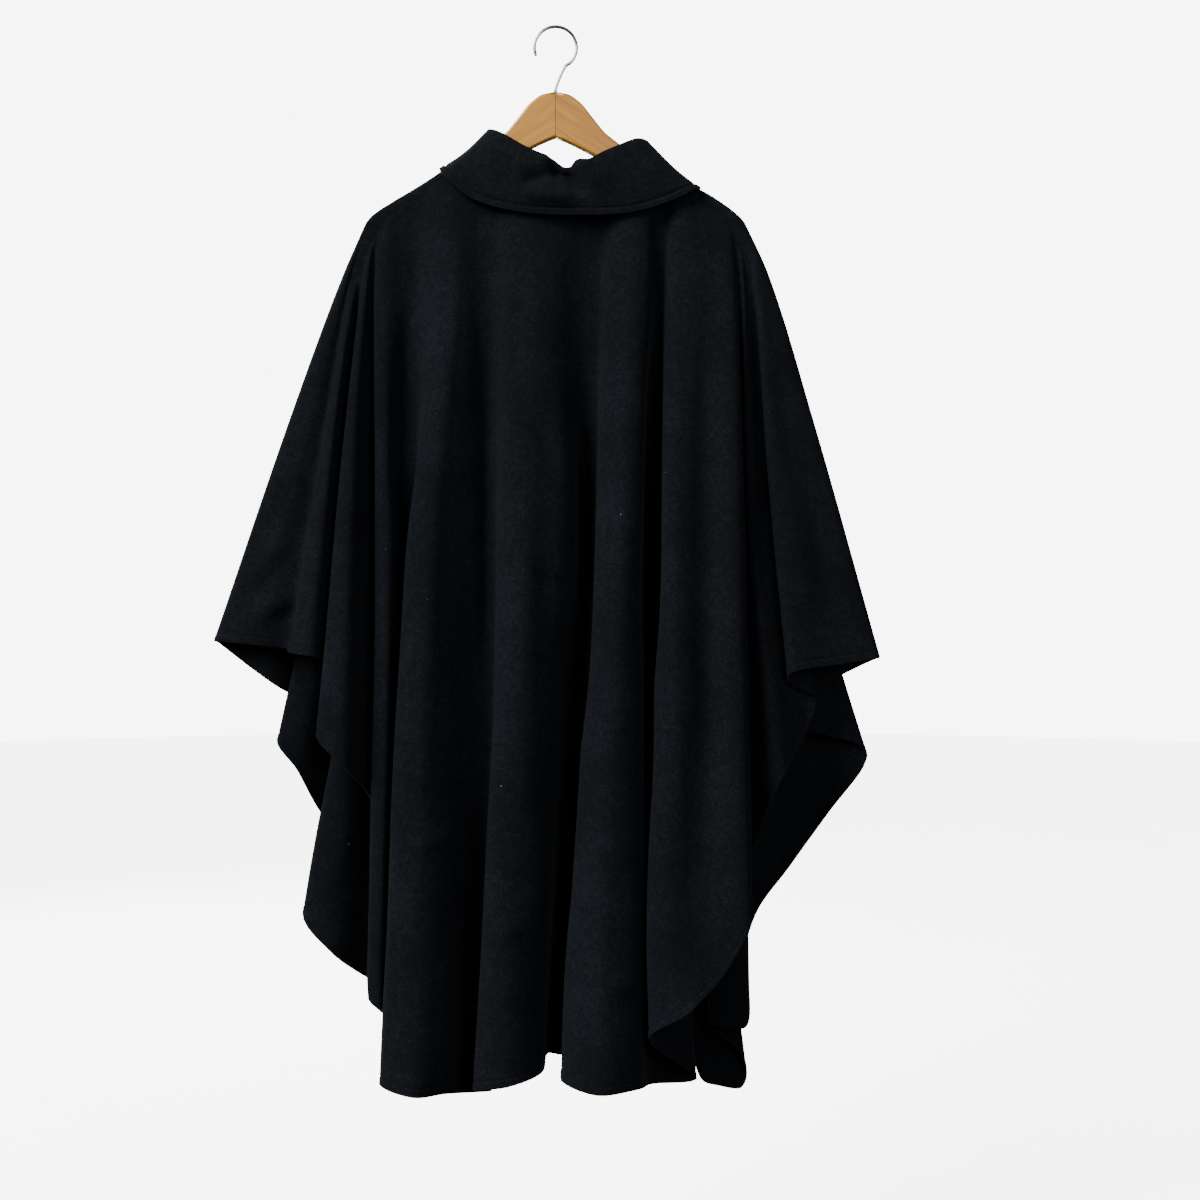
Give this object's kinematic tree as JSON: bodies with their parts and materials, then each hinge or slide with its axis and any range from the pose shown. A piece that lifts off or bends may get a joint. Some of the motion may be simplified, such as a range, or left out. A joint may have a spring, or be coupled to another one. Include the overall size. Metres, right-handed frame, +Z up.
{
  "type": "wool cloak on a wooden hanger",
  "caption": "Round-cut wool cloak with a turned-down collar and overarm wings, hanging in deep folds from a wooden hanger with a wire hook.",
  "frame": {"origin": "inside of the hook's crown, where a rail bears", "axes": "+Z up; the cloak's back faces -Y; +X is the wearer's right"},
  "size_m": [0.7529, 0.2119, 1.2125],
  "materials": {
    "wool": "black milled wool coating, matt with a short nap",
    "beech": "clear lacquered pale wood, satin",
    "steel": "bright plated steel wire",
    "button": "dark polished button"
  },
  "bodies": {
    "root": {"back_panel": "wool", "front_left": "wool", "front_right": "wool", "collar": "wool", "hanger_left": "beech", "hanger_right": "beech", "hook": "steel", "neck_button": "button"}
  },
  "joints": []
}
